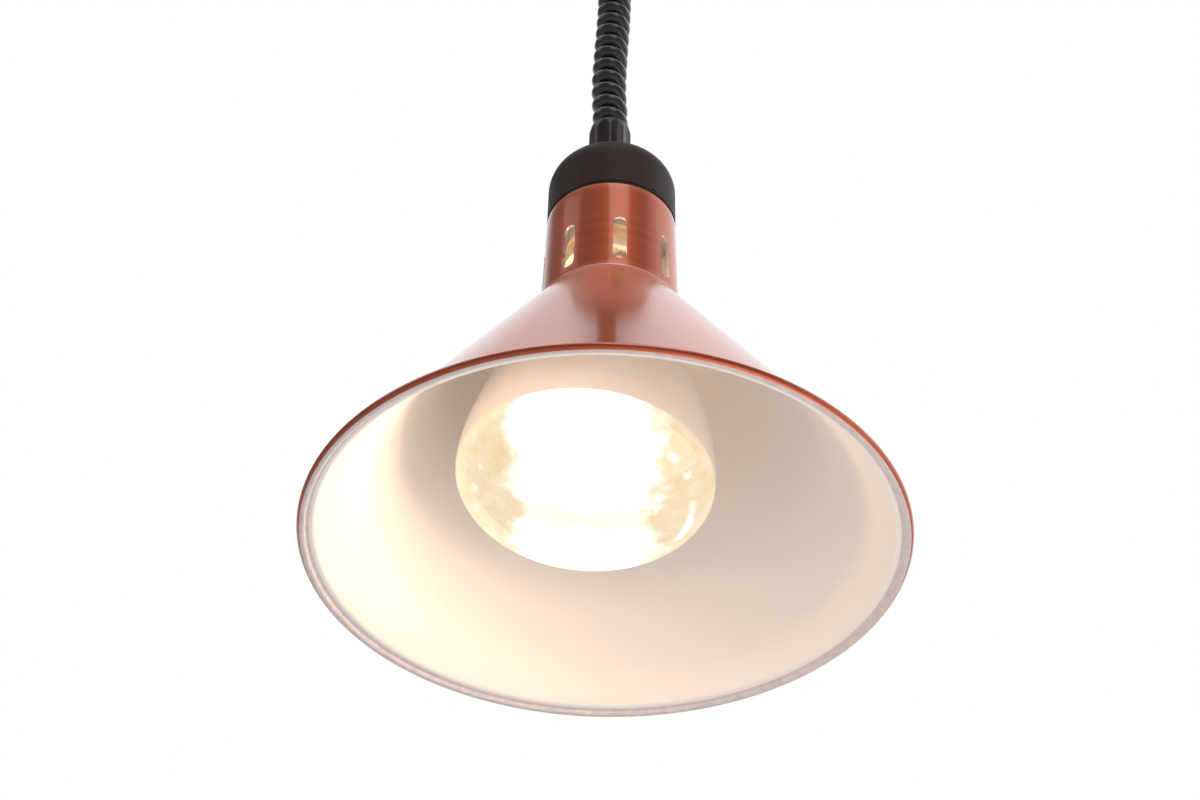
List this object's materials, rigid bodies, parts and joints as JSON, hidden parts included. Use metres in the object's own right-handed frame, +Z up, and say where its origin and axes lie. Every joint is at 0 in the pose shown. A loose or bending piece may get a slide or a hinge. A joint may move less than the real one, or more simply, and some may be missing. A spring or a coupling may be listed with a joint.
{
  "type": "rise-and-fall heat lamp",
  "caption": "Pendant heat lamp: copper conical shade with vented neck and reflector bulb, hung by a curly cord from a ceiling canopy with a cable reel.",
  "frame": {"origin": "middle of the ceiling face of the mounting bracket", "axes": "+Z up, along the hanging cord, towards the ceiling; +X along the bracket's two fixing slots"},
  "size_m": [0.2899, 0.29, 0.6022],
  "materials": {
    "copper_lacquer": "spun aluminium with a gloss copper lacquer outside and white satin enamel inside",
    "cap_plastic": "matte moulded thermoplastic",
    "gland_plastic": "semi-gloss moulded nylon",
    "canopy_plastic": "matte moulded plastic",
    "cord_jacket": "semi-gloss flexible jacket",
    "lead_insulation": "silicone insulated wire",
    "zinc_steel": "zinc plated",
    "bright_steel": "turned bright steel",
    "spring_steel": "blued spring steel",
    "steel_rope": "stranded steel wire rope",
    "nylon": "moulded nylon",
    "white_nylon": "moulded nylon",
    "brass": "pressed brass",
    "nickel_brass": "nickel plated brass",
    "porcelain": "cream glazed porcelain",
    "reflector_coat": "vacuum coated aluminium",
    "bulb_glass": "hard glass, clear at the face",
    "clear_glass": "clear glass",
    "black_glass": "fused black glass insulator",
    "solder": "solder",
    "tungsten": "drawn wire"
  },
  "bodies": {
    "ceiling_unit": {"mounting_bracket": "zinc_steel", "canopy": "canopy_plastic", "canopy_screws": "zinc_steel", "reel_frame": "zinc_steel", "reel_frame_screws": "zinc_steel", "reel_axle": "bright_steel", "axle_clip": "spring_steel", "mainspring": "spring_steel", "terminal_block": "white_nylon", "terminal_screws": "brass", "canopy_gland_body": "gland_plastic", "canopy_gland_nut": "gland_plastic", "canopy_locknut": "gland_plastic", "canopy_flex_tail": "cord_jacket", "canopy_leads": "lead_insulation", "curly_cord": "cord_jacket", "suspension_cable": "steel_rope"},
    "reel": {"reel_drum": "nylon", "cable_windings": "steel_rope"},
    "lamp_head": {"lamp_gland_body": "gland_plastic", "lamp_gland_nut": "gland_plastic", "lamp_locknut": "gland_plastic", "lamp_flex_tail": "cord_jacket", "lamp_leads": "lead_insulation", "cable_anchor": "zinc_steel", "cable_ferrule": "bright_steel", "top_cap": "cap_plastic", "cap_ring": "cap_plastic", "shade": "copper_lacquer", "holder_bracket": "zinc_steel", "bracket_screws": "zinc_steel", "lampholder": "porcelain", "holder_screws": "zinc_steel", "screw_shell": "brass", "centre_contact": "brass", "holder_terminals": "brass"},
    "bulb_carriage": {"bulb_reflector": "reflector_coat"},
    "bulb": {"bulb_glass": "bulb_glass", "bulb_cap": "nickel_brass", "cap_insulator": "black_glass", "bulb_tip": "solder", "glass_stem": "clear_glass", "filament": "tungsten", "filament_supports": "tungsten"}
  },
  "joints": [
    {"name": "rise_and_fall", "type": "slide", "parent": "ceiling_unit", "child": "lamp_head", "axis": [0, 0, 1], "range_m": [-0.35, 0], "deforming": ["curly_cord", "suspension_cable"]},
    {"name": "reel_turn", "type": "hinge", "parent": "ceiling_unit", "child": "reel", "pos_m": [0, 0.018, -0.034], "axis": [1, 0, 0], "range_deg": [0, 1116]},
    {"name": "bulb_drop", "type": "slide", "parent": "lamp_head", "child": "bulb_carriage", "axis": [-0.0574, -0.0818, -0.995], "range_m": [0, 0.0255]},
    {"name": "bulb_turn", "type": "hinge", "parent": "bulb_carriage", "child": "bulb", "pos_m": [0.0018, 0, -0.395], "axis": [-0.0574, -0.0818, -0.995], "range_deg": [0, 2520]}
  ],
  "couplings": [
    {"joint": "reel_turn", "follows": "rise_and_fall", "rad_per_m": -55.556},
    {"joint": "bulb_drop", "follows": "bulb_turn", "m_per_rad": 0.00057757}
  ]
}
